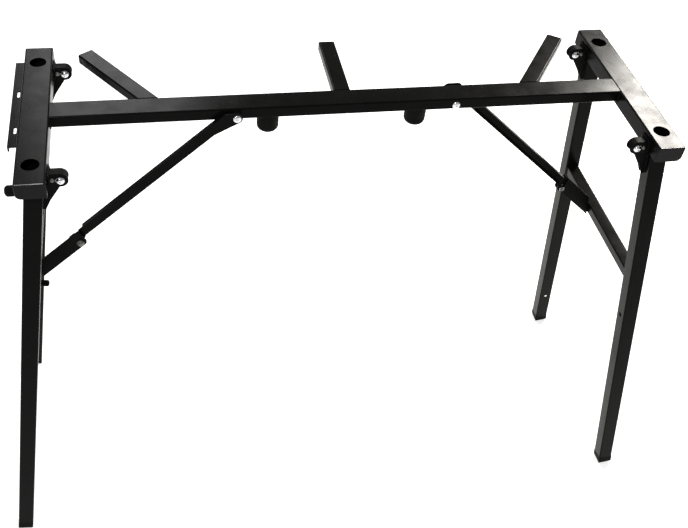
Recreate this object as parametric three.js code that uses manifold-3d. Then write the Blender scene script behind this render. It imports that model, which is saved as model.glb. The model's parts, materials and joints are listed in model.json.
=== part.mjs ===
// Folding keyboard stand: a welded steel top frame on two leg frames that fold
// inwards on bolted hinges, each held open by a diagonal channel brace.
// Millimetres, +Z up, X along the spine, Y towards the rear, origin on the floor
// at the middle of the stand. The right end is modelled once, and the left end
// is the same end turned half a turn about Z, which puts its brace in front of
// the spine and the right one behind it.

import * as THREE from 'three';
import { mergeVertices } from 'three/addons/utils/BufferGeometryUtils.js';
import Module from 'manifold-3d';

const wasm = await Module();
wasm.setup();

const DEG = Math.PI / 180;

// ---------------------------------------------------------------- dimensions
// Overall
const standHeight = 765;
const frameLength = 917;
const seatGap = 0.3;

// Steel tube shared by the frame
const tubeWall = 1.5;
const tubeCorner = 2.2;
const tubeFacets = 2;

// End beams
const beamWidth = 40;
const beamHeight = 25;
const beamLength = 314;
const beamSoftCorner = 8;
const padHoleRadius = 12;
const padHoleInset = 39;

// Spine
const spineWidth = 36;
const spineHeight = 18;

// Rear support arms, the centre one a little left of the middle
const middleShift = -4;
const armWidth = 25;
const armHeight = 15;
const centreArmReach = 148;
const sideArmInset = 134;
const sideArmAngle = 35.4 * DEG;
const sideArmReach = 141;

// Plastic end plugs
const plugFlange = 2;
const plugDepth = 12;
const plugEdge = 1.2;
const plugChamfer = 0.7;

// Leg frames, their hinges set in from the inner faces and the ends of the beams
const hingeInset = 15.5;
const hingeDrop = 20;
const hingeEndInset = 35;
const legSize = 25;
const legOffset = 33;
const legTilt = 9.2 * DEG;
const legSplay = 5.02 * DEG;
const crossbarSize = 20;
const crossbarDrop = 269;
const catchHoleRadius = 4;
const catchHoleDrop = 352;

// Rubber feet
const footHeight = 18;
const footCorner = 9;
const footOverrun = 3;
const footPlugDepth = 16;

// Hinges: a hooded clevis on the beam round the cheeks of a tongue on the leg
const hingeBoltRadius = 3;
const clevisWall = 2;
const clevisHalf = 6.5;
const clevisRound = 10.5;
const clevisBaseHalf = 13;
const clevisTop = 13;
const clevisFootLow = 3;
const hoodEnd = 160 * DEG;
const tongueWall = 1.8;
const tongueHalf = 4.1;
const tongueRound = 8;
const tongueTurn = 252 * DEG;
const tongueWaist = 38;
const tongueWidth = 9;
const tongueTail = 54;
const tongueTip = 4;
const beamClear = 0.6;

// Braces: a channel on the spine bolt, slotted over the clamp bolt of the leg frame
const braceRun = 239.5;
const braceBoltDrop = 11;
const clampInset = 1.5;
const clampDrop = 226;
const braceStandOff = 1;
const braceDepth = 8;
const braceWall = 2;
const braceLow = 2;
const braceHigh = 17;
const braceLug = 8;
const braceForkRadius = 7;
const braceForkEnd = 7;
const braceForkTurn = 198 * DEG;
const braceLugRun = 42;
const forkClear = 0.8;
const forkSlant = 27 * DEG;
const upperFlangeStart = 9;
const upperFlangeStop = 22;
const lowerFlangeStop = 14;

// Clamp bracket on the crossbar
const bracketGap = 3.3;
const bracketWall = 2.5;
const bracketLow = 7;
const bracketHigh = 19;
const bracketNose = 10;
const bracketLean = 5;
const bracketFoot = 18;
const bracketFootHalf = 9;

// Bolts
const boltRadius = 3;
const boltClear = 0.3;
const domeRadius = 6;
const domeHeight = 2.6;
const clampDomeHeight = 3.6;
const braceSpacerRadius = 5.5;
const hingeDomeRadius = 5.8;
const hingeDomeHeight = 4.4;
const hingeNutRadius = 5.2;
const hingeNutHeight = 4;
const boltTail = 1.4;
const clampNutRadius = 4.6;
const clampNutHeight = 4;

// Rubber stops under the spine
const stopInset = 51.25;
const stopRadius = 16;
const stopHeight = 31;
const stopRound = 8;

// Slotted side rails, their slots placed from the rear end
const railLength = 202;
const railInset = 12;
const railClear = 1;
const railReach = 15.5;
const railWall = 2;
const railLip = 8;
const railSlotWidth = 4;
const railSlotLength = 15;
const railSlotPlaces = [81.5, 166];

// Rubber buttons
const buttonRadius = 7.5;
const buttonHeight = 13;
const buttonCrown = 5;
const buttonRim = 2;
const buttonInset = 11;
const buttonDrop = 18;
const pegRadius = 5;
const pegLength = 14;
const pegCrown = 3;
const pegY = 57;

// ------------------------------------------------------------------ derived
const beamX = (frameLength - beamWidth) / 2;
const beamInnerX = frameLength / 2 - beamWidth;
const beamEnd = beamLength / 2;
const beamUnderside = standHeight - beamHeight;
const padHoleY = beamEnd - padHoleInset;
const hingeX = beamInnerX - hingeInset;
const hingeY = beamEnd - hingeEndInset;
const buttonY = beamEnd - buttonInset;
const sideArmBaseX = beamInnerX - sideArmInset;
const clampX = hingeX - clampInset;
const braceBoltX = clampX - braceRun;
const stopX = braceBoltX - stopInset;
const spineUnderside = standHeight - spineHeight;
const spineHalf = spineWidth / 2;
const hingeZ = standHeight - hingeDrop;
const braceBoltZ = standHeight - braceBoltDrop;
const clampZ = standHeight - clampDrop;
const braceLength = Math.hypot(braceRun, braceBoltZ - clampZ);
const braceAngle = Math.atan2(braceBoltZ - clampZ, braceRun);
const braceInnerY = spineHalf + braceStandOff;
const braceOuterY = braceInnerY + braceDepth;
const braceWebY = braceOuterY - braceWall;
const bracketInnerY = braceOuterY + bracketGap;
const bracketOuterY = bracketInnerY + bracketWall;
const holeRadius = boltRadius + boltClear;
const forkRadius = boltRadius + forkClear;
const legReach = (hingeZ + legOffset * Math.sin(legTilt)) / (Math.cos(legTilt) * Math.cos(legSplay));
const crossbarInnerX = legOffset - crossbarSize / 2;
const through = 100;
const far = 2000;

// ---------------------------------------------------------------- materials
const steel = new THREE.MeshStandardMaterial({ color: 0x1c1d1e, roughness: 0.42, metalness: 0.35 });
const chrome = new THREE.MeshStandardMaterial({ color: 0xd6d8da, roughness: 0.16, metalness: 1 });
const plastic = new THREE.MeshStandardMaterial({ color: 0x26272a, roughness: 0.5, metalness: 0 });
const rubber = new THREE.MeshStandardMaterial({ color: 0x0f0f10, roughness: 0.8, metalness: 0 });

// ------------------------------------------------------------------ helpers
function closedForm(geometry) {
  const bare = geometry.clone();
  bare.deleteAttribute('normal');
  bare.deleteAttribute('uv');
  const merged = mergeVertices(bare, 1e-4);
  const index = merged.index.array;
  const kept = [];
  for (let i = 0; i < index.length; i += 3) {
    const [a, b, c] = [index[i], index[i + 1], index[i + 2]];
    if (a !== b && b !== c && c !== a) kept.push(a, b, c);
  }
  merged.setIndex(kept);
  return merged;
}

function solid(geometry) {
  const form = closedForm(geometry);
  const vertProperties = new Float32Array(form.attributes.position.array);
  const triVerts = new Uint32Array(form.index.array);
  return new wasm.Manifold(new wasm.Mesh({ numProp: 3, vertProperties, triVerts }));
}

function geometryOf(body) {
  const mesh = body.getMesh();
  const geometry = new THREE.BufferGeometry();
  geometry.setAttribute('position', new THREE.BufferAttribute(mesh.vertProperties, 3));
  geometry.setIndex(new THREE.BufferAttribute(mesh.triVerts, 1));
  geometry.computeVertexNormals();
  return geometry;
}

function piece(name, body, material, matrix) {
  const mesh = new THREE.Mesh(geometryOf(body), material);
  mesh.name = name;
  if (matrix) matrix.decompose(mesh.position, mesh.quaternion, mesh.scale);
  return mesh;
}

function placement(x, y, z, rx = 0, ry = 0, rz = 0) {
  const turn = new THREE.Quaternion().setFromEuler(new THREE.Euler(rx, ry, rz));
  return new THREE.Matrix4().compose(new THREE.Vector3(x, y, z), turn, new THREE.Vector3(1, 1, 1));
}

function block(x0, x1, y0, y1, z0, z1) {
  const box = new THREE.BoxGeometry(x1 - x0, y1 - y0, z1 - z0);
  return box.translate((x0 + x1) / 2, (y0 + y1) / 2, (z0 + z1) / 2);
}

// A rectangle with rounded corners; corner 0 is the lower right one, and its radius may differ
function roundedRect(width, height, radius, firstRadius = radius) {
  const shape = new THREE.Shape();
  for (let i = 0; i < 4; i += 1) {
    const r = i === 0 ? firstRadius : radius;
    const x = (width / 2 - r) * (i === 0 || i === 1 ? 1 : -1);
    const y = (height / 2 - r) * (i === 1 || i === 2 ? 1 : -1);
    shape.absarc(x, y, r, (i - 1) * Math.PI / 2, i * Math.PI / 2);
  }
  shape.closePath();
  return shape;
}

function prism(shape, length) {
  const form = { depth: length, bevelEnabled: false, curveSegments: tubeFacets };
  return new THREE.ExtrudeGeometry(shape, form).translate(0, 0, -length / 2);
}

// A bar of rounded section along Z, centred on the origin
function bar(width, height, length, radius) {
  return prism(roundedRect(width, height, radius), length);
}

function tube(width, height, length, turn = new THREE.Matrix4(), softCorner = tubeCorner) {
  const outer = roundedRect(width, height, tubeCorner, softCorner);
  const bore = [width - 2 * tubeWall, height - 2 * tubeWall, tubeCorner - tubeWall, softCorner - tubeWall];
  const inner = prism(roundedRect(...bore), length + 2).applyMatrix4(turn);
  return solid(prism(outer, length).applyMatrix4(turn)).subtract(solid(inner));
}

// A plate whose outline lies in XZ, from y0 to y1
function plate(shape, y0, y1) {
  const form = { depth: y1 - y0, bevelEnabled: false, curveSegments: 6 };
  return new THREE.ExtrudeGeometry(shape, form).rotateX(Math.PI / 2).translate(0, y1, 0);
}

// A rod along Y
function rod(radius, y0, y1, sides = 16) {
  return new THREE.CylinderGeometry(radius, radius, y1 - y0, sides).translate(0, (y0 + y1) / 2, 0);
}

function revolve(profile, sides = 16) {
  return new THREE.LatheGeometry(profile.map(([r, y]) => new THREE.Vector2(r, y)), sides);
}

// Points of a domed head whose flat side is at y and whose crown is height beyond it
function dome(radius, y, height, rings = 3) {
  const points = [];
  for (let i = 0; i <= rings; i += 1) {
    const turn = (i / rings) * Math.PI / 2;
    points.push([radius * Math.cos(turn), y + height * Math.sin(turn)]);
  }
  points[rings][0] = 0;
  return points;
}

// Cuts a body, drawn under the given placement, by a block drawn in the end's own axes
function trimmed(body, matrix, cutter) {
  return body.subtract(solid(cutter.applyMatrix4(matrix.clone().invert())));
}

// ------------------------------------------------------- plastic end plugs
// A chamfered flange over the tube's end, on a stem inside the tube
function plug(name, width, height, matrix, softCorner = tubeCorner) {
  const inset = 2 * (tubeWall + seatGap);
  const form = {
    depth: plugFlange - 2 * plugChamfer, bevelThickness: plugChamfer, bevelSize: plugChamfer,
    bevelOffset: -plugChamfer, bevelSegments: 1, curveSegments: 2 * tubeFacets,
  };
  const face = roundedRect(width, height, tubeCorner, softCorner);
  const flange = new THREE.ExtrudeGeometry(face, form).translate(0, 0, plugChamfer);
  const stemFace = roundedRect(width - inset, height - inset, plugEdge, softCorner - tubeWall);
  const stem = prism(stemFace, plugDepth + 1).translate(0, 0, (1 - plugDepth) / 2);
  return piece(name, solid(flange).add(solid(stem)), plastic, matrix);
}

// ------------------------------------------------------------- middle pieces
function spine() {
  let body = tube(spineHeight, spineWidth, 2 * beamInnerX, placement(0, 0, 0, 0, Math.PI / 2, 0));
  for (const x of [-braceBoltX, braceBoltX]) {
    const hole = rod(holeRadius, -spineWidth, spineWidth);
    body = body.subtract(solid(hole.translate(x, 0, spineHeight / 2 - braceBoltDrop)));
  }
  return piece('spine', body, steel, placement(0, 0, standHeight - spineHeight / 2));
}

// An arm welded to the back of the spine: its foot follows the spine, its tip is square
function arm(name, baseX, angle, reach) {
  const rootY = spineHalf + seatGap;
  const length = (reach - rootY) / Math.cos(angle);
  const matrix = placement(baseX, rootY, standHeight - armHeight / 2, 0, 0, -angle);
  const along = placement(0, 0, 0, -Math.PI / 2, 0, 0);
  const overrun = armWidth;
  const blank = tube(armWidth, armHeight, length + overrun - plugFlange, along);
  const turned = solid(geometryOf(blank).translate(0, (length - overrun - plugFlange) / 2, 0));
  const body = trimmed(turned, matrix, block(-far, far, -far, rootY, 0, far));
  const tip = placement(0, length - plugFlange, 0, -Math.PI / 2, 0, 0);
  return [
    piece(`${name}_arm`, body, steel, matrix),
    plug(`${name}_arm_plug`, armWidth, armHeight, matrix.clone().multiply(tip)),
  ];
}

// A rubber stop: a straight barrel with a rounded bottom edge
function rubberStop(name, x) {
  const flat = stopRadius - stopRound;
  const straight = stopHeight - stopRound;
  const profile = [[0, -stopHeight]];
  for (let turn = 0; turn <= 90; turn += 22.5) {
    profile.push([flat + stopRound * Math.sin(turn * DEG), -straight - stopRound * Math.cos(turn * DEG)]);
  }
  profile.push([stopRadius, -seatGap], [0, -seatGap]);
  const body = solid(revolve(profile, 24).rotateX(Math.PI / 2));
  return piece(name, body, rubber, placement(x, 0, spineUnderside));
}

// --------------------------------------------------------------- end pieces
function endBeam(side) {
  const along = placement(0, 0, 0, Math.PI / 2, 0, 0);
  let body = tube(beamWidth, beamHeight, beamLength - 2 * plugFlange, along, beamSoftCorner);
  for (const y of [-padHoleY, padHoleY]) {
    const hole = new THREE.CylinderGeometry(padHoleRadius, padHoleRadius, beamHeight, 32);
    body = body.subtract(solid(hole.rotateX(Math.PI / 2).translate(0, y, beamHeight / 2)));
  }
  return piece(`end_beam_${side}`, body, steel, placement(beamX, 0, standHeight - beamHeight / 2));
}

// The plug's outline is drawn as seen from the front, and the rear plug is its mirror image
function beamPlug(name, ySign) {
  const seat = placement(beamX, ySign * (beamEnd - plugFlange), standHeight - beamHeight / 2);
  const front = seat.multiply(placement(0, 0, 0, Math.PI / 2, 0, 0));
  const mesh = plug(name, beamWidth, beamHeight, front, beamSoftCorner);
  if (ySign > 0) {
    const mirrored = solid(mesh.geometry).mirror([0, 0, 1]);
    mesh.geometry = geometryOf(mirrored);
  }
  return mesh;
}

// An angle along the beam's outer face, its slotted web on top and its lip hanging down.
// Both rails lie towards the rear, where the right one stops short of its button.
function sideRail(side, front) {
  const outer = railReach;
  const web = outer - railWall;
  let body = solid(block(seatGap, outer, 0, railLength, railLip - railWall, railLip));
  body = body.add(solid(block(web, outer, 0, railLength, 0, railLip)));
  for (const place of railSlotPlaces) {
    const slot = bar(railSlotWidth, railSlotLength, railLip, railSlotWidth / 2 - 0.01);
    const fromStart = front < 0 ? railLength - place : place;
    body = body.subtract(solid(slot.translate((seatGap + web) / 2, fromStart, railLip)));
  }
  const start = front < 0 ? buttonY - buttonRadius - railClear - railLength : railInset - beamEnd;
  return piece(`side_rail_${side}`, body, steel, placement(frameLength / 2, start, beamUnderside));
}

function cornerButton(side) {
  const crown = dome(buttonRadius, buttonHeight - buttonCrown, buttonCrown);
  const waist = buttonRadius - buttonRim / 2;
  const body = solid(revolve([[0, seatGap], [waist, seatGap], [buttonRadius, buttonRim], ...crown]));
  const place = placement(frameLength / 2, buttonY, standHeight - buttonDrop, 0, 0, -Math.PI / 2);
  return piece(`corner_button_${side}`, body, rubber, place);
}

// ------------------------------------------------------------------- hinges
// Clevis on the inner face of the end beam: two ears and a hood over the top of the tongue
function clevis(name, y) {
  const foot = beamInnerX - hingeX - seatGap;
  const web = foot - clevisWall;
  const under = clevisRound - clevisWall;
  const outline = new THREE.Shape();
  outline.moveTo(foot, -clevisRound);
  outline.lineTo(foot, clevisRound);
  outline.absarc(0, 0, clevisRound, Math.PI / 2, 1.5 * Math.PI);
  outline.closePath();
  const hollow = new THREE.Shape();
  hollow.moveTo(far, -far);
  hollow.lineTo(far, -clevisFootLow);
  hollow.lineTo(web, -clevisFootLow);
  hollow.lineTo(web, under);
  hollow.absarc(0, 0, under, Math.PI / 2, hoodEnd);
  hollow.lineTo(far * Math.cos(hoodEnd), far * Math.sin(hoodEnd));
  hollow.lineTo(-far, -far);
  hollow.closePath();
  const gap = clevisHalf - clevisWall;
  let body = solid(plate(outline, -clevisHalf, clevisHalf)).subtract(solid(plate(hollow, -gap, gap)));
  const base = block(web, foot, -clevisBaseHalf, clevisBaseHalf, -clevisFootLow, clevisTop);
  body = body.add(solid(base)).subtract(solid(rod(hingeBoltRadius + boltClear, -clevisTop, clevisTop)));
  return piece(name, body, steel, placement(hingeX, y, hingeZ));
}

// Tongue on the inner face of the leg, in the axes of the leg frame: two cheeks on a back plate
function legHinge(name, y) {
  const back = legOffset - legSize / 2 - seatGap;
  const shoulder = (beamHeight - hingeDrop + beamClear + back * Math.sin(legTilt)) / Math.cos(legTilt);
  const cheek = new THREE.Shape();
  cheek.moveTo(back, -shoulder);
  cheek.lineTo(tongueRound, -shoulder);
  cheek.absarc(0, 0, tongueRound, 0, tongueTurn);
  cheek.lineTo(back - tongueWidth, -tongueWaist);
  cheek.lineTo(back - tongueTip, -tongueTail);
  cheek.lineTo(back, -tongueTail);
  cheek.closePath();
  let body = solid(block(back - tongueWall, back, -tongueHalf, tongueHalf, -tongueTail, -shoulder));
  for (const inner of [-tongueHalf, tongueHalf - tongueWall]) {
    body = body.add(solid(plate(cheek, inner, inner + tongueWall)));
  }
  body = body.subtract(solid(rod(hingeBoltRadius + boltClear, -clevisTop, clevisTop)));
  return piece(name, body, steel, placement(0, y, 0));
}

function nut(name, radius, height, matrix) {
  const hex = solid(new THREE.CylinderGeometry(radius, radius, height, 6));
  const body = hex.subtract(solid(rod(holeRadius, -height, height)));
  return piece(name, body, chrome, matrix);
}

// Pivot bolt with its domed head towards the front of the stand and a nut behind
function hingeFasteners(name, y, front) {
  const seat = clevisHalf + seatGap;
  const end = seat + hingeNutHeight + seatGap + boltTail;
  const crown = dome(hingeDomeRadius, seat, hingeDomeHeight, 4);
  const profile = [[0, -end], [hingeBoltRadius, -end], [hingeBoltRadius, seat], ...crown];
  const matrix = placement(hingeX, y, hingeZ, 0, 0, front > 0 ? 0 : Math.PI);
  const nutPlace = matrix.clone().multiply(placement(0, -seat - hingeNutHeight / 2, 0));
  return [
    piece(`hinge_bolt_${name}`, solid(revolve(profile, 20)), chrome, matrix),
    nut(`hinge_nut_${name}`, hingeNutRadius, hingeNutHeight, nutPlace),
  ];
}

// --------------------------------------------------------------- leg frames
const legFramePlace = placement(hingeX, 0, hingeZ, 0, -legTilt, 0);

function legPlace(ySign) {
  return placement(legOffset, ySign * hingeY, 0, ySign * legSplay, 0, 0);
}

function leg(name, ySign, hasCatchHole) {
  const place = legPlace(ySign);
  const length = legReach - footHeight - seatGap;
  const blank = geometryOf(tube(legSize, legSize, length)).translate(0, 0, -length / 2);
  const inEnd = legFramePlace.clone().multiply(place);
  let body = trimmed(solid(blank), inEnd, block(0, far, -far, far, beamUnderside - seatGap, far));
  if (hasCatchHole) {
    const hole = new THREE.CylinderGeometry(catchHoleRadius, catchHoleRadius, legSize, 20);
    body = body.subtract(solid(hole.rotateZ(Math.PI / 2).translate(-legSize / 2, 0, -catchHoleDrop)));
  }
  return piece(name, body, steel, place);
}

// Rubber foot: a rounded tip cut flat by the floor, on a plug inside the tube
function foot(name, ySign) {
  const place = legPlace(ySign);
  const top = footHeight - legReach;
  const bottom = -legReach - footOverrun;
  const half = legSize / 2;
  const side = new THREE.Shape();
  side.moveTo(-half, top);
  side.lineTo(-half, bottom + footCorner);
  side.absarc(footCorner - half, bottom + footCorner, footCorner, Math.PI, 1.5 * Math.PI);
  side.absarc(half - footCorner, bottom + footCorner, footCorner, 1.5 * Math.PI, 2 * Math.PI);
  side.lineTo(half, top);
  side.closePath();
  const facing = solid(plate(side, -half, half));
  const sideways = solid(plate(side, -half, half).rotateZ(Math.PI / 2));
  const inner = legSize - 2 * (tubeWall + seatGap);
  const stem = bar(inner, inner, footPlugDepth + 1, plugEdge).translate(0, 0, top + (footPlugDepth - 1) / 2);
  const whole = facing.intersect(sideways).add(solid(stem));
  const inEnd = legFramePlace.clone().multiply(place);
  return piece(name, trimmed(whole, inEnd, block(0, far, -far, far, -far, 0)), rubber, place);
}

// Crossbar between the legs, its ends cut to their inner faces
function crossbar(side) {
  const place = placement(legOffset, 0, -crossbarDrop);
  let body = tube(crossbarSize, crossbarSize, 3 * hingeY, placement(0, 0, 0, Math.PI / 2, 0, 0));
  for (const ySign of [-1, 1]) {
    const outside = block(-far, far, -legSize / 2 - seatGap, far, -far, far);
    if (ySign < 0) outside.rotateZ(Math.PI);
    outside.applyMatrix4(place.clone().invert().multiply(legPlace(ySign)));
    body = body.subtract(solid(outside));
  }
  return piece(`crossbar_${side}`, body, steel, place);
}

function foldPeg(side) {
  const crown = dome(pegRadius, pegLength - pegCrown, pegCrown);
  const body = solid(revolve([[0, seatGap], [pegRadius, seatGap], ...crown]));
  const place = placement(crossbarInnerX, pegY, -crossbarDrop, 0, 0, Math.PI / 2);
  return piece(`fold_peg_${side}`, body, rubber, place);
}

// Where the clamp bolt lies in the leg frame, with its X axis along the open brace
function clampPlace() {
  const world = placement(clampX, 0, clampZ, 0, braceAngle, 0);
  return legFramePlace.clone().invert().multiply(world);
}

// Flat bracket from the crossbar to the clamp bolt, with a foot bent along the crossbar
function clampBracket(side) {
  const place = clampPlace();
  const reach = crossbarDrop;
  const outline = new THREE.Shape();
  outline.moveTo(reach, bracketHigh);
  outline.lineTo(-bracketNose - bracketLean, bracketHigh);
  outline.lineTo(-bracketNose, 0);
  outline.absarc(bracketLow - bracketNose, 0, bracketLow, Math.PI, 1.5 * Math.PI);
  outline.lineTo(reach, -bracketLow);
  outline.closePath();
  let body = solid(plate(outline, bracketInnerY, bracketOuterY));
  body = body.subtract(solid(rod(holeRadius, 0, through)));
  const face = crossbarInnerX - seatGap;
  const inClamp = place.clone().invert();
  body = body.subtract(solid(block(face, far, -far, far, -far, far).applyMatrix4(inClamp)));
  const footEnd = bracketInnerY + bracketFoot;
  const foot = block(face - bracketWall, face, bracketInnerY, footEnd, -bracketFootHalf, bracketFootHalf);
  foot.translate(0, 0, -crossbarDrop).applyMatrix4(inClamp);
  return piece(`clamp_bracket_${side}`, body.add(solid(foot)), steel, place);
}

// Clamp bolt: head outside the bracket, spacer against the brace, nut inside the channel
function clampFasteners(side) {
  const place = clampPlace();
  const spacer = domeRadius;
  const inner = bracketInnerY - seatGap;
  const outer = braceOuterY + seatGap;
  const tip = braceInnerY - seatGap;
  const crown = dome(domeRadius, bracketOuterY + seatGap, clampDomeHeight);
  const profile = [
    [0, tip], [boltRadius, tip], [boltRadius, outer], [spacer, outer],
    [spacer, inner], [boltRadius, inner], [boltRadius, bracketOuterY + seatGap], ...crown,
  ];
  const nutPlace = place.clone().multiply(placement(0, braceWebY - seatGap - clampNutHeight / 2, 0));
  return [
    piece(`clamp_bolt_${side}`, solid(revolve(profile)), chrome, place),
    nut(`clamp_nut_${side}`, clampNutRadius, clampNutHeight, nutPlace),
  ];
}

// ------------------------------------------------------------------- braces
// Bolt through the spine: head on one side, spacer and low cap nut on the brace side
function braceFasteners(side) {
  const spacer = braceSpacerRadius;
  const head = -spineHalf - seatGap;
  const sleeve = spineHalf + seatGap;
  const capSeat = braceOuterY + seatGap;
  const end = capSeat + 1;
  const crown = dome(domeRadius, -head, domeHeight).map(([r, y]) => [r, -y]).reverse();
  const profile = [
    ...crown, [boltRadius, head], [boltRadius, sleeve], [spacer, sleeve],
    [spacer, braceWebY - seatGap], [boltRadius, braceWebY - seatGap], [boltRadius, end], [0, end],
  ];
  const bore = [[0, end + seatGap], [holeRadius, end + seatGap], [holeRadius, capSeat]];
  const cap = solid(revolve([...bore, ...dome(domeRadius, capSeat, domeHeight)]));
  const place = placement(braceBoltX, 0, braceBoltZ);
  return [
    piece(`brace_bolt_${side}`, solid(revolve(profile)), chrome, place),
    piece(`brace_cap_nut_${side}`, cap, chrome, place),
  ];
}

// Channel brace with a cranked lug on the spine bolt and an open fork at the clamp bolt
function brace(side) {
  const [sin, cos] = [Math.sin(braceAngle), Math.cos(braceAngle)];
  const crank = (braceHigh - braceLug * cos) / sin;
  const outline = new THREE.Shape();
  outline.moveTo(braceLength + braceForkEnd, braceHigh);
  outline.lineTo(crank * cos - braceLug * sin, braceHigh);
  outline.absarc(0, 0, braceLug, Math.PI / 2 + braceAngle, 1.5 * Math.PI);
  outline.lineTo(braceLugRun, braceLow);
  outline.lineTo(braceLength - 2 * braceForkRadius, braceLow);
  outline.absarc(braceLength, 0, braceForkRadius, braceForkTurn, 360 * DEG);
  outline.closePath();
  let body = solid(plate(outline, braceWebY, braceOuterY));
  const flanges = [
    [upperFlangeStart, upperFlangeStop, braceHigh - braceWall],
    [braceLugRun, lowerFlangeStop, braceLow],
  ];
  for (const [start, stop, z] of flanges) {
    body = body.add(solid(block(start, braceLength - stop, braceInnerY, braceOuterY, z, z + braceWall)));
  }
  body = body.subtract(solid(rod(holeRadius, 0, through)));
  const slot = block(-forkRadius, forkRadius, 0, through, 0, through).rotateY(-forkSlant);
  const fork = solid(rod(forkRadius, 0, through)).add(solid(slot));
  body = body.subtract(solid(geometryOf(fork).translate(braceLength, 0, 0)));
  return piece(`brace_${side}`, body, steel, placement(braceBoltX, 0, braceBoltZ, 0, braceAngle, 0));
}

// ----------------------------------------------------------------- assembly
// One end in its own axes; front is the direction along Y of the stand's front
function end(side, front) {
  const group = new THREE.Group();
  group.add(endBeam(side), sideRail(side, front), cornerButton(side), brace(side), ...braceFasteners(side));
  const legFrame = new THREE.Group();
  legFramePlace.decompose(legFrame.position, legFrame.quaternion, legFrame.scale);
  legFrame.add(crossbar(side), clampBracket(side), ...clampFasteners(side), foldPeg(side));
  for (const ySign of [1, -1]) {
    const name = `${side}_${ySign === front ? 'front' : 'rear'}`;
    group.add(beamPlug(`beam_plug_${name}`, ySign), clevis(`hinge_clevis_${name}`, ySign * hingeY));
    group.add(...hingeFasteners(name, ySign * hingeY, front));
    legFrame.add(leg(`leg_${name}`, ySign, ySign < 0), foot(`foot_${name}`, ySign));
    legFrame.add(legHinge(`leg_hinge_${name}`, ySign * hingeY));
  }
  group.add(legFrame);
  return group;
}

const stand = new THREE.Group();
stand.add(spine());
stand.add(rubberStop('rubber_stop_right', middleShift + stopX));
stand.add(rubberStop('rubber_stop_left', middleShift - stopX));
stand.add(...arm('centre', middleShift, 0, centreArmReach));
stand.add(...arm('right', sideArmBaseX, sideArmAngle, sideArmReach));
stand.add(...arm('left', -sideArmBaseX, -sideArmAngle, sideArmReach));

const rightEnd = end('right', -1);
const leftEnd = end('left', 1);
leftEnd.rotation.z = Math.PI;
stand.add(rightEnd, leftEnd);

export default stand;
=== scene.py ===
"""Folding keyboard stand.

Fine surfaces, welds, fasteners, materials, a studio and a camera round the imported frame.
"""
import json
import math

import bmesh
import bpy
from mathutils import Matrix, Vector, noise


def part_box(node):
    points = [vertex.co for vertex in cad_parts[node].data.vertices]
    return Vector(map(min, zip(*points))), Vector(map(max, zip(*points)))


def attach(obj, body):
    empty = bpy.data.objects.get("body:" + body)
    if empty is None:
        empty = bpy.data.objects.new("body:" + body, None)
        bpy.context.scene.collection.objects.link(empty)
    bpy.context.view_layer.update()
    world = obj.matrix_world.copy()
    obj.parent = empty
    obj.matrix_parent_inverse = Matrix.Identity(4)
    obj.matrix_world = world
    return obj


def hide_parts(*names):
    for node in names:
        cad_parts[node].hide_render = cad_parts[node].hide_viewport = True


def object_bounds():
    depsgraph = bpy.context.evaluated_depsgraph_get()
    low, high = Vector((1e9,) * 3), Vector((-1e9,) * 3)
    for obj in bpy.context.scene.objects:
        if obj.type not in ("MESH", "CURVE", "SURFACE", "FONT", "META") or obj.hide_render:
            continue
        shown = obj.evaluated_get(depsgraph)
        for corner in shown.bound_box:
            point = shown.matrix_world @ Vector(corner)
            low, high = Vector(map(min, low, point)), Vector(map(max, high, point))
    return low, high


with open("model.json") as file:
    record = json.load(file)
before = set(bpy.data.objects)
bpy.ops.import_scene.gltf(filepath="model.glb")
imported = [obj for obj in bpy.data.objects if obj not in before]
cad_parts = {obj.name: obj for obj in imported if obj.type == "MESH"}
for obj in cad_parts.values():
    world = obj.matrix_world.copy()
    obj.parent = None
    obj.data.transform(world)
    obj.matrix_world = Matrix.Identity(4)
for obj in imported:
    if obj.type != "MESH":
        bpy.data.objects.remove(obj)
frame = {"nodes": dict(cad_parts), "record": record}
cad_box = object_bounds()
nodes = frame["nodes"]
record = frame["record"]

# ------------------------------------------------------------------ sizes, metres
MM = 0.001
SIDES = {"right": 1, "left": -1}
ENDS = {"front": -1, "rear": 1}
STAND_TOP = cad_box[1][2]

HINGE_X = 403 * MM
HINGE_Z = STAND_TOP - 20 * MM
HINGE_Y = 122 * MM
LEG_TILT = math.radians(9.2)
LEG_SPLAY = math.radians(5.02)
LEG_OFFSET = 33 * MM
LEG_SIZE = 25 * MM
CROSSBAR_DROP = 269 * MM
CROSSBAR_SIZE = 20 * MM
EAR_HALF = 6.5 * MM
TONGUE_HALF = 4.1 * MM
SPINE_HALF = 18 * MM
SPINE_HEIGHT = 18 * MM
BEAM_INNER_X = 418.5 * MM
BRACE_X = 162 * MM
BRACE_DROP = 11 * MM
ARM_HALF = 12.5 * MM
ARM_HEIGHT = 15 * MM
ARM_TURN = math.radians(35.4)
CENTRE_ARM_X = -4 * MM
SIDE_ARM_X = 284.5 * MM
SHANK = 3 * MM
GAP = 0.3 * MM

SLIVER = 0.002 * MM
PLATE_EDGE = 0.35 * MM
PLUG_EDGE = 0.3 * MM
RIM_EDGE = 0.7 * MM
CAP_EDGE = 1 * MM
NUT_EDGE = 0.5 * MM
FOOT_EDGE = 1.2 * MM

BEAD_RADIUS = 1.5 * MM
BEAD_STEP = 1.1 * MM
BEAD_SIDES = 8
BEAD_TOP = STAND_TOP - BEAD_RADIUS * 1.4

FLOOR_REACH = 40
FLOOR_GLOW = 0.62
WORLD_LEVEL = 0.38

body_of = {node: body for body, members in record["behaviour"]["bodies"].items() for node in members}
slot_of = {entry["node"]: entry["material_slot"] for entry in record["subparts"]}


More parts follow.
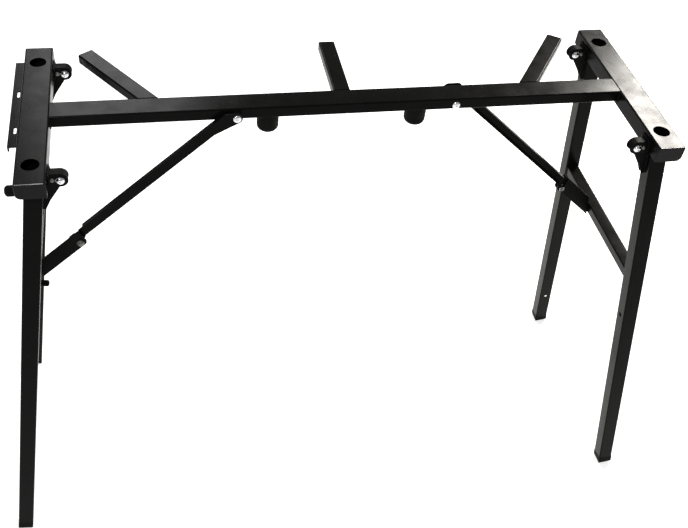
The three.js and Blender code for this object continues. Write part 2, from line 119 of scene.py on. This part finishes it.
# ------------------------------------------------------------------ camera
def make_camera():
    """Camera solved from the photograph: the frame is 688 x 528."""
    yaw = math.radians(-12.924)
    pitch = math.radians(45.175)
    roll = math.radians(5.081)
    turn = Matrix.Rotation(yaw, 3, "Z")
    forward = turn @ Vector((0, math.cos(pitch), -math.sin(pitch)))
    level = turn @ Vector((1, 0, 0))
    up = level.cross(forward)
    right = level * math.cos(roll) + up * math.sin(roll)
    top = -level * math.sin(roll) + up * math.cos(roll)
    data = bpy.data.cameras.new("camera")
    data.sensor_width = 36
    data.lens = 47.334
    data.shift_x = 0.05114
    data.shift_y = -0.00257
    camera = bpy.data.objects.new("camera", data)
    axes = Matrix((right, top, -forward)).transposed()
    camera.matrix_world = Matrix.Translation((-0.278114, -1.061119, 1.522152)) @ axes.to_4x4()
    bpy.context.scene.collection.objects.link(camera)
    bpy.context.scene.camera = camera


# ------------------------------------------------------------------ materials
def new_material(name):
    material = bpy.data.materials.new(name)
    material.use_nodes = True
    tree = material.node_tree
    return material, tree, tree.nodes["Principled BSDF"]


def noise_node(tree, scale, detail=4.0, roughness=0.55):
    coords = tree.nodes.new("ShaderNodeTexCoord")
    texture = tree.nodes.new("ShaderNodeTexNoise")
    texture.inputs["Scale"].default_value = scale
    texture.inputs["Detail"].default_value = detail
    texture.inputs["Roughness"].default_value = roughness
    tree.links.new(coords.outputs["Object"], texture.inputs["Vector"])
    return texture.outputs["Fac"]


def ramp_node(tree, source, low, high, start=0.35, end=0.65):
    ramp = tree.nodes.new("ShaderNodeMapRange")
    ramp.inputs["From Min"].default_value = start
    ramp.inputs["From Max"].default_value = end
    ramp.inputs["To Min"].default_value = low
    ramp.inputs["To Max"].default_value = high
    tree.links.new(source, ramp.inputs["Value"])
    return ramp.outputs["Result"]


def colour_node(tree, source, dark, light, start=0.3, end=0.7):
    ramp = tree.nodes.new("ShaderNodeValToRGB")
    ramp.color_ramp.elements[0].position = start
    ramp.color_ramp.elements[1].position = end
    ramp.color_ramp.elements[0].color = (*dark, 1)
    ramp.color_ramp.elements[1].color = (*light, 1)
    tree.links.new(source, ramp.inputs["Fac"])
    return ramp.outputs["Color"]


def tint(tree, shader, texture, dark, light):
    tree.links.new(colour_node(tree, texture, dark, light), shader.inputs["Base Color"])


def gloss(tree, shader, texture, smoothest, roughest):
    tree.links.new(ramp_node(tree, texture, smoothest, roughest), shader.inputs["Roughness"])


def bump_node(tree, shader, source, strength, distance):
    bump = tree.nodes.new("ShaderNodeBump")
    bump.inputs["Strength"].default_value = strength
    bump.inputs["Distance"].default_value = distance
    tree.links.new(source, bump.inputs["Height"])
    tree.links.new(bump.outputs["Normal"], shader.inputs["Normal"])


def dusted(tree, base, dust, scale, start, end):
    """The base colour with sparse specks of dust over it."""
    mix = tree.nodes.new("ShaderNodeMix")
    mix.data_type = "RGBA"
    specks = ramp_node(tree, noise_node(tree, scale, 2, 0.4), 0, 1, start, end)
    tree.links.new(specks, mix.inputs["Factor"])
    tree.links.new(base, mix.inputs["A"])
    mix.inputs["B"].default_value = (*dust, 1)
    return mix.outputs["Result"]


def powder_coat(name, smoothest, roughest):
    material, tree, shader = new_material(name)
    tone = colour_node(tree, noise_node(tree, 9, 6), (0.0028, 0.0028, 0.0028), (0.005, 0.0049, 0.0047))
    tree.links.new(dusted(tree, tone, (0.042, 0.041, 0.038), 620, 0.7, 0.78), shader.inputs["Base Color"])
    gloss(tree, shader, noise_node(tree, 34, 5), smoothest, roughest)
    shader.inputs["Specular IOR Level"].default_value = 0.035
    bump_node(tree, shader, noise_node(tree, 700, 2), 0.1, 0.0003)
    return material


def chrome():
    material, tree, shader = new_material("chrome")
    shader.inputs["Metallic"].default_value = 1
    tint(tree, shader, noise_node(tree, 160, 3), (0.6, 0.61, 0.63), (0.84, 0.85, 0.86))
    gloss(tree, shader, noise_node(tree, 300, 4), 0.1, 0.26)
    bump_node(tree, shader, noise_node(tree, 1200, 2), 0.06, 0.0002)
    return material


def dull_zinc():
    material, tree, shader = new_material("dull_zinc")
    shader.inputs["Metallic"].default_value = 1
    tint(tree, shader, noise_node(tree, 220, 4), (0.09, 0.09, 0.088), (0.2, 0.2, 0.195))
    gloss(tree, shader, noise_node(tree, 260, 4), 0.38, 0.55)
    return material


def black_plastic():
    material, tree, shader = new_material("black_plastic")
    tint(tree, shader, noise_node(tree, 60, 5), (0.004, 0.004, 0.0042), (0.008, 0.008, 0.0082))
    gloss(tree, shader, noise_node(tree, 120, 4), 0.15, 0.24)
    shader.inputs["Specular IOR Level"].default_value = 0.1
    bump_node(tree, shader, noise_node(tree, 1800, 2), 0.1, 0.0002)
    return material


def black_rubber():
    material, tree, shader = new_material("black_rubber")
    tint(tree, shader, noise_node(tree, 80, 5), (0.0035, 0.0035, 0.0035), (0.009, 0.009, 0.0085))
    gloss(tree, shader, noise_node(tree, 90, 4), 0.5, 0.7)
    shader.inputs["Specular IOR Level"].default_value = 0.04
    bump_node(tree, shader, noise_node(tree, 1500, 3), 0.25, 0.0003)
    return material


def make_looks():
    return {
        "frame_steel": powder_coat("powder_coat", 0.2, 0.29),
        "matt_coat": powder_coat("matt_coat", 0.42, 0.55),
        "dull_zinc": dull_zinc(),
        "bright_fasteners": chrome(),
        "end_plugs": black_plastic(),
        "rubber_parts": black_rubber(),
    }


def dress_nodes():
    for name, slot in slot_of.items():
        nodes[name].data.materials.clear()
        nodes[name].data.materials.append(looks[slot])


# ------------------------------------------------------------------ making pieces
def add_piece(name, shape, body, slot, look=None):
    """A new smooth-shaded piece from a bmesh, on its body, in the look of its slot or in a look of its own if
    given.
    """
    mesh = bpy.data.meshes.new(name)
    bmesh.ops.recalc_face_normals(shape, faces=shape.faces[:])
    shape.to_mesh(mesh)
    shape.free()
    mesh.materials.append(look or looks[slot])
    for face in mesh.polygons:
        face.use_smooth = True
    piece = bpy.data.objects.new(name, mesh)
    bpy.context.scene.collection.objects.link(piece)
    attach(piece, body)
    return piece


def weigh_normals(piece, sharp):
    """Keeps flat faces flat in the shading and the edges above an angle crisp."""
    piece.data.set_sharp_from_angle(angle=math.radians(sharp))
    weighted = piece.modifiers.new("shading", "WEIGHTED_NORMAL")
    weighted.keep_sharp = True


def joined_faces(name):
    """A CAD piece's mesh with its coplanar triangles joined into whole faces."""
    shape = bmesh.new()
    shape.from_mesh(nodes[name].data)
    bmesh.ops.remove_doubles(shape, verts=shape.verts[:], dist=SLIVER)
    bmesh.ops.dissolve_limit(shape, angle_limit=math.radians(0.4), verts=shape.verts[:],
                             edges=shape.edges[:], delimit=set())
    return shape


def stand_for(name, edge=0.0, segments=2, bevel_above=50, sharp=40, look=None):
    """A finer copy of a CAD piece that stands for it, with a bevel on its edges where edge is given."""
    piece = add_piece(f"fine_{name}", joined_faces(name), body_of[name], slot_of[name], look)
    if edge:
        bevel = piece.modifiers.new("edges", "BEVEL")
        bevel.width = edge
        bevel.segments = segments
        bevel.limit_method = "ANGLE"
        bevel.angle_limit = math.radians(bevel_above)
        bevel.use_clamp_overlap = True
        weld = piece.modifiers.new("weld", "WELD")
        weld.merge_threshold = SLIVER
    weigh_normals(piece, sharp)
    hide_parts(name)


def lathe(profile, place, turns=48):
    """A closed body of revolution about its own Z axis from (radius, height) points, set at a place."""
    shape = bmesh.new()
    rings = []
    for radius, height in profile:
        if radius == 0:
            rings.append([shape.verts.new(place @ Vector((0, 0, height)))])
            continue
        angles = [2 * math.pi * i / turns for i in range(turns)]
        rings.append([shape.verts.new(place @ Vector((radius * math.cos(a), radius * math.sin(a), height)))
                      for a in angles])
    for low, high in zip(rings, rings[1:]):
        for i in range(turns):
            j = (i + 1) % turns
            corners = [low[i % len(low)], low[j % len(low)], high[j % len(high)], high[i % len(high)]]
            shape.faces.new(list(dict.fromkeys(corners)))
    return shape


def round_over(radius, base, height, steps=8, flat=0.0):
    """Profile points of a crown from its rim at base to its middle, height above."""
    turns = [math.pi / 2 * i / steps for i in range(steps)]
    points = [(flat + (radius - flat) * math.cos(turn), base + height * math.sin(turn)) for turn in turns]
    if flat:
        points.append((flat, base + height))
    return [*points, (0, base + height)]


def axis_place(origin, direction):
    """A place at origin whose Z axis points along direction."""
    turn = Vector(direction).to_track_quat("Z", "Y").to_matrix().to_4x4()
    return Matrix.Translation(origin) @ turn


def end_axes(side):
    """The left end is the right one turned half round, so front and rear change places in its axes."""
    return Matrix.Rotation(0 if side == "right" else math.pi, 4, "Z")


def leg_axes(side):
    """From the axes of a leg frame, as on the right end, to the stand's own."""
    hinge_line = Matrix.Translation((HINGE_X, 0, HINGE_Z))
    return end_axes(side) @ hinge_line @ Matrix.Rotation(-LEG_TILT, 4, "Y")


def leg_face_y(z):
    """Where a splayed leg's face towards the middle of the stand is, at a height in the leg's axes."""
    return HINGE_Y - z * math.tan(LEG_SPLAY) - LEG_SIZE / 2 / math.cos(LEG_SPLAY)


# ------------------------------------------------------------------ softened copies
def soften_steel():
    matt = looks["matt_coat"]
    for side in SIDES:
        for stem in ("brace", "side_rail"):
            stand_for(f"{stem}_{side}", PLATE_EDGE)
        stand_for(f"clamp_bracket_{side}", PLATE_EDGE, look=matt)
        stand_for(f"end_beam_{side}", RIM_EDGE, 3)
        stand_for(f"crossbar_{side}")
        for end in ENDS:
            for stem in ("hinge_clevis", "leg_hinge"):
                stand_for(f"{stem}_{side}_{end}", PLATE_EDGE, look=matt)
            stand_for(f"leg_{side}_{end}")
    for stem in ("spine", "centre_arm", "left_arm", "right_arm"):
        stand_for(stem)


def soften_plastic():
    for arm in ("centre", "left", "right"):
        stand_for(f"{arm}_arm_plug", PLUG_EDGE, bevel_above=25)
    for side in SIDES:
        for end in ENDS:
            stand_for(f"beam_plug_{side}_{end}", CAP_EDGE, 1)
            stand_for(f"foot_{side}_{end}", FOOT_EDGE, 3)


# ------------------------------------------------------------------ fasteners
def cross_recess(piece, place, reach, depth):
    """Cuts a tapered cross into a head whose crown is at the place and faces along its Z axis."""
    bottom_share, width = 0.55, 0.95 * MM
    cutter_shape = bmesh.new()
    for turn in (0, math.pi / 2):
        part = bmesh.ops.create_cube(cutter_shape, size=1)
        for vert in part["verts"]:
            taper = 1 if vert.co.z > 0 else bottom_share
            local = Vector((vert.co.x * reach * 2 * taper, vert.co.y * width, vert.co.z * depth * 2))
            vert.co = place @ (Matrix.Rotation(turn, 4, "Z") @ local)
    mesh = bpy.data.meshes.new("cutter")
    cutter_shape.to_mesh(mesh)
    cutter_shape.free()
    cutter = bpy.data.objects.new("cutter", mesh)
    bpy.context.scene.collection.objects.link(cutter)
    cut = piece.modifiers.new("recess", "BOOLEAN")
    cut.operation = "DIFFERENCE"
    cut.solver = "EXACT"
    cut.use_self = True
    cut.object = cutter
    graph = bpy.context.evaluated_depsgraph_get()
    carved = bpy.data.meshes.new_from_object(piece.evaluated_get(graph))
    piece.modifiers.remove(cut)
    welded = bmesh.new()
    welded.from_mesh(carved)
    bmesh.ops.remove_doubles(welded, verts=welded.verts[:], dist=SLIVER)
    bmesh.ops.dissolve_degenerate(welded, edges=welded.edges[:], dist=SLIVER)
    welded.to_mesh(carved)
    welded.free()
    piece.data = carved
    bpy.data.objects.remove(cutter)


def turned(name, profile, place, turns=48, sharp=40, recess=None):
    """A finely turned piece that stands for its CAD node, with a cross recess in its crown if given."""
    piece = add_piece(f"fine_{name}", lathe(profile, place, turns), body_of[name], slot_of[name])
    if recess:
        crown = place @ Matrix.Translation((0, 0, profile[-1][1]))
        cross_recess(piece, crown, *recess)
    weigh_normals(piece, sharp)
    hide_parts(name)


def hinge_fasteners():
    """Hinge bolts with their heads to the front, each with a flat ring under its crown."""
    nut_height, past_nut = 4 * MM, 1.7 * MM
    head, rim, rim_step, crown, chamfer = 5.8 * MM, 0.7 * MM, 0.2 * MM, 3.7 * MM, 0.5 * MM
    seat = EAR_HALF + GAP
    tail = seat + nut_height + past_nut
    for side, x_sign in SIDES.items():
        for end, y_sign in ENDS.items():
            place = axis_place((x_sign * HINGE_X, y_sign * HINGE_Y, HINGE_Z), (0, -1, 0))
            profile = [(0, -tail), (SHANK - chamfer, -tail), (SHANK, -tail + chamfer), (SHANK, seat),
                       (head, seat), (head, seat + rim), *round_over(head - rim_step, seat + rim, crown)]
            turned(f"hinge_bolt_{side}_{end}", profile, place, sharp=35, recess=(2.4 * MM, 1.6 * MM))
            stand_for(f"hinge_nut_{side}_{end}", NUT_EDGE)


def brace_fasteners():
    """Spine bolts and cap nuts: the brace is behind the spine on the right and before it on the left."""
    web, outer, spacer = 25 * MM, 27 * MM, 5.5 * MM
    head, crown, past_web, bore_depth = 6 * MM, 2.6 * MM, 1 * MM, 1.3 * MM
    end = -outer - past_web - GAP
    bore, seat = SHANK + GAP, outer + GAP
    for side, x_sign in SIDES.items():
        place = axis_place((x_sign * BRACE_X, 0, STAND_TOP - BRACE_DROP), (0, -x_sign, 0))
        bolt = [(0, end), (SHANK, end), (SHANK, -web + GAP), (spacer, -web + GAP),
                (spacer, -SPINE_HALF - GAP), (SHANK, -SPINE_HALF - GAP), (SHANK, SPINE_HALF + GAP),
                *round_over(head, SPINE_HALF + GAP, crown)]
        turned(f"brace_bolt_{side}", bolt, place, sharp=35, recess=(2.5 * MM, 1.4 * MM))
        cap_place = axis_place(place.translation, (0, x_sign, 0))
        cap = [(0, seat + bore_depth), (bore, seat + bore_depth), (bore, seat),
               *round_over(head, seat, crown)]
        turned(f"brace_cap_nut_{side}", cap, cap_place, sharp=35, recess=(2.5 * MM, 0.8 * MM))


def clamp_fasteners():
    for side in SIDES:
        stand_for(f"clamp_bolt_{side}", 0.25 * MM, 2, bevel_above=60, sharp=50, look=looks["dull_zinc"])
        stand_for(f"clamp_nut_{side}", NUT_EDGE)


def place_rivet(name, spot, direction, radius, slot, body, look=None):
    """A low domed rivet head, sunk a little into the surface it sits on."""
    sunk, rim, crown = 0.4 * MM, 0.2 * MM, 0.9 * MM
    profile = [(0, -sunk), (radius, -sunk), *round_over(radius, rim, crown, 5)]
    piece = add_piece(name, lathe(profile, axis_place(spot, direction), 24), body, slot, look)
    weigh_normals(piece, 40)


def rivets():
    """A grey rivet on each hinge's front ear, beside the knuckle, and two painted ones in its base."""
    ear_x, ear_z, ear_radius = 10.6 * MM, 0.5 * MM, 3.5 * MM
    base_x, base_z, base_radius, base_pitch = 13.2 * MM, 8.5 * MM, 2.3 * MM, 10 * MM
    for side, x_sign in SIDES.items():
        for end, y_sign in ENDS.items():
            centre = Vector((x_sign * HINGE_X, y_sign * HINGE_Y, HINGE_Z))
            ear = centre + Vector((x_sign * ear_x, -EAR_HALF, ear_z))
            place_rivet(f"ear_rivet_{side}_{end}", ear, (0, -1, 0), ear_radius, "bright_fasteners",
                        "top_frame", looks["dull_zinc"])
            for i, offset in enumerate((-base_pitch, base_pitch)):
                spot = centre + Vector((x_sign * base_x, offset, base_z))
                place_rivet(f"base_rivet_{side}_{end}_{i}", spot, (-x_sign, 0, 0), base_radius, "frame_steel",
                            "top_frame")


def foot_screw():
    """The one pale screw head seen, on the front face of the right rear leg above its foot."""
    z, radius = -665 * MM, 2.6 * MM
    axes = leg_axes("right")
    spot = axes @ Vector((LEG_OFFSET, leg_face_y(z), z))
    direction = axes.to_3x3() @ Vector((0, -math.cos(LEG_SPLAY), -math.sin(LEG_SPLAY)))
    place_rivet("foot_screw_right_rear", spot, direction, radius, "bright_fasteners", "leg_frame_right")


# ------------------------------------------------------------------ rubber
def rubber_stops():
    radius, height, edge = 16 * MM, 31 * MM, 8 * MM
    chamfer = 0.8 * MM
    underside = STAND_TOP - SPINE_HEIGHT
    for side in SIDES:
        low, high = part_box(f"rubber_stop_{side}")
        middle = (low + high) / 2
        place = axis_place((middle.x, middle.y, underside), (0, 0, -1))
        profile = [(0, GAP), (radius - chamfer, GAP), (radius, 1.1 * MM),
                   *round_over(radius, height - edge, edge, 10, radius - edge)]
        turned(f"rubber_stop_{side}", profile, place, 64)


def buttons_and_pegs():
    """The button on each beam's outer face, and the peg on each crossbar's inner face."""
    button_x, button_y, button_drop, button_radius = 458.5 * MM, 146 * MM, 18 * MM, 7.5 * MM
    peg_y, peg_radius = 57 * MM, 5 * MM
    button = [(0, GAP), (6.5 * MM, GAP), (button_radius, 2 * MM),
              *round_over(button_radius, 8 * MM, 5 * MM, 8, 2 * MM)]
    peg = [(0, GAP), (peg_radius, GAP), *round_over(peg_radius, 11 * MM, 3 * MM, 7, 1.5 * MM)]
    button_seat = (button_x, button_y, STAND_TOP - button_drop)
    peg_seat = (LEG_OFFSET - CROSSBAR_SIZE / 2, peg_y, -CROSSBAR_DROP)
    for side in SIDES:
        turned(f"corner_button_{side}", button, end_axes(side) @ axis_place(button_seat, (1, 0, 0)))
        turned(f"fold_peg_{side}", peg, leg_axes(side) @ axis_place(peg_seat, (-1, 0, 0)), 32)


# ------------------------------------------------------------------ welds
def bead(name, points, body, closed=False):
    """A rippled weld bead along straight runs between points."""
    wave, wave_rate, lumps, lump_scale = 0.14, 1.9, 0.22, 260
    corners = [Vector(p) for p in points]
    if closed:
        corners.append(corners[0])
    path = []
    for start, stop in zip(corners, corners[1:]):
        steps = max(2, round((stop - start).length / BEAD_STEP))
        path += [start.lerp(stop, i / steps) for i in range(steps)]
    if not closed:
        path.append(corners[-1])
    shape = bmesh.new()
    rings = []
    for i, point in enumerate(path):
        before = path[i - 1] if i or closed else point
        after = path[(i + 1) % len(path)] if i + 1 < len(path) or closed else point
        turn = (after - before).normalized().to_track_quat("Z", "Y")
        ripple = 1 + wave * math.sin(i * wave_rate) + lumps * noise.noise(point * lump_scale)
        radius = BEAD_RADIUS * ripple
        angles = [2 * math.pi * k / BEAD_SIDES for k in range(BEAD_SIDES)]
        rings.append([shape.verts.new(point + turn @ Vector((math.cos(a) * radius, math.sin(a) * radius, 0)))
                      for a in angles])
    pairs = list(zip(rings, rings[1:])) + ([(rings[-1], rings[0])] if closed else [])
    for low, high in pairs:
        for k in range(BEAD_SIDES):
            m = (k + 1) % BEAD_SIDES
            shape.faces.new((low[k], low[m], high[m], high[k]))
    if not closed:
        shape.faces.new(rings[0])
        shape.faces.new(rings[-1])
    add_piece(name, shape, body, "frame_steel")


def spine_welds():
    """Along the sides and underside of the spine, where it meets each end beam."""
    bottom = STAND_TOP - SPINE_HEIGHT
    for side, x_sign in SIDES.items():
        x = x_sign * BEAM_INNER_X
        run = ((-SPINE_HALF, BEAD_TOP), (-SPINE_HALF, bottom), (SPINE_HALF, bottom), (SPINE_HALF, BEAD_TOP))
        bead(f"spine_weld_{side}", [(x, y, z) for y, z in run], "top_frame")


def arm_welds():
    """Under and beside the foot of each support arm, on the back of the spine."""
    bottom = STAND_TOP - ARM_HEIGHT
    turned_half = ARM_HALF / math.cos(ARM_TURN)
    feet = {
        "centre": (CENTRE_ARM_X, ARM_HALF),
        "left": (-SIDE_ARM_X, turned_half),
        "right": (SIDE_ARM_X, turned_half),
    }
    for name, (x, half) in feet.items():
        run = ((x - half, BEAD_TOP), (x - half, bottom), (x + half, bottom), (x + half, BEAD_TOP))
        bead(f"{name}_arm_weld", [(edge, SPINE_HALF, z) for edge, z in run], "top_frame")


def crossbar_welds():
    """Round both ends of each crossbar, where the splayed legs' inner faces cut it."""
    half = CROSSBAR_SIZE / 2
    for side in SIDES:
        axes = leg_axes(side)
        for end, y_sign in ENDS.items():
            corners = []
            for dx, dz in ((-half, -half), (half, -half), (half, half), (-half, half)):
                z = -CROSSBAR_DROP + dz
                corners.append(axes @ Vector((LEG_OFFSET + dx, y_sign * leg_face_y(z), z)))
            bead(f"crossbar_weld_{side}_{end}", corners, f"leg_frame_{side}", closed=True)


def bracket_welds():
    """Along the top and bottom edges of each bracket's foot on the crossbar."""
    face = LEG_OFFSET - CROSSBAR_SIZE / 2
    start, stop, foot_half = 30.6 * MM, 47.6 * MM, 9 * MM
    for side in SIDES:
        axes = leg_axes(side)
        for level, z in (("top", foot_half), ("bottom", -foot_half)):
            points = [axes @ Vector((face, y, -CROSSBAR_DROP + z)) for y in (start, stop)]
            bead(f"bracket_weld_{side}_{level}", points, f"leg_frame_{side}")


def leg_hinge_welds():
    """Down both sides of each tongue, on the leg's inner face."""
    x = LEG_OFFSET - LEG_SIZE / 2
    start, stop = -16 * MM, -52 * MM
    for side in SIDES:
        axes = leg_axes(side)
        for end, y_sign in ENDS.items():
            for edge, dy in (("inner", -TONGUE_HALF), ("outer", TONGUE_HALF)):
                points = [axes @ Vector((x, y_sign * (HINGE_Y + dy), z)) for z in (start, stop)]
                bead(f"leg_hinge_weld_{side}_{end}_{edge}", points, f"leg_frame_{side}")


# ------------------------------------------------------------------ studio
def background_rays(tree):
    """1 for rays from the camera, mirrors and glass, and 0 for the light that falls on the object."""
    path = tree.nodes.new("ShaderNodeLightPath")
    result = path.outputs["Is Camera Ray"]
    for ray in ("Is Glossy Ray", "Is Transmission Ray"):
        larger = tree.nodes.new("ShaderNodeMath")
        larger.operation = "MAXIMUM"
        tree.links.new(result, larger.inputs[0])
        tree.links.new(path.outputs[ray], larger.inputs[1])
        result = larger.outputs[0]
    return result


def white_floor():
    """A pale floor that is white to the camera and keeps the object's shadow."""
    material, tree, shader = new_material("floor_white")
    shader.inputs["Base Color"].default_value = (0.8, 0.8, 0.8, 1)
    shader.inputs["Roughness"].default_value = 1
    shader.inputs["Specular IOR Level"].default_value = 0
    shader.inputs["Emission Color"].default_value = (1, 1, 1, 1)
    glow = tree.nodes.new("ShaderNodeMath")
    glow.operation = "MULTIPLY"
    glow.inputs[1].default_value = FLOOR_GLOW
    tree.links.new(background_rays(tree), glow.inputs[0])
    tree.links.new(glow.outputs[0], shader.inputs["Emission Strength"])
    return material


def make_floor():
    mesh = bpy.data.meshes.new("floor")
    corners = ((-1, -1), (1, -1), (1, 1), (-1, 1))
    mesh.from_pydata([(x * FLOOR_REACH, y * FLOOR_REACH, 0) for x, y in corners], [], [(0, 1, 2, 3)])
    floor = bpy.data.objects.new("floor", mesh)
    bpy.context.scene.collection.objects.link(floor)
    mesh.materials.append(white_floor())


def area_light(name, place, target, size, power, colour=(1, 1, 1)):
    data = bpy.data.lights.new(name, "AREA")
    data.shape = "RECTANGLE"
    data.size, data.size_y = size
    data.energy = power
    data.color = colour
    light = bpy.data.objects.new(name, data)
    light.location = place
    aim = Vector(target) - Vector(place)
    light.rotation_euler = aim.to_track_quat("-Z", "Y").to_euler()
    bpy.context.scene.collection.objects.link(light)


def make_studio():
    """A dim pale world, lights mirrored by the tops of both ends, and one beside the camera."""
    world = bpy.data.worlds.new("studio")
    bpy.context.scene.world = world
    world.use_nodes = True
    world.node_tree.nodes["Background"].inputs["Color"].default_value = (1, 1, 1, 1)
    world.node_tree.nodes["Background"].inputs["Strength"].default_value = WORLD_LEVEL
    area_light("window", (1.475, 1.24, 1.835), (0.45, -0.1, 0.765), (0.43, 0.43), 74, (1, 0.965, 0.9))
    area_light("softbox", (-0.425, 1.68, 1.92), (-0.4, 0, 0.765), (0.55, 0.7), 14.5)
    area_light("front", (-0.65, -1.25, 2.0), (-0.2, 0, 0.7), (0.15, 0.15), 10)


make_camera()
make_studio()
make_floor()
looks = make_looks()
dress_nodes()
soften_steel()
soften_plastic()
hinge_fasteners()
brace_fasteners()
clamp_fasteners()
rivets()
foot_screw()
rubber_stops()
buttons_and_pegs()
spine_welds()
arm_welds()
crossbar_welds()
bracket_welds()
leg_hinge_welds()

bpy.context.scene.view_settings.view_transform = "Standard"
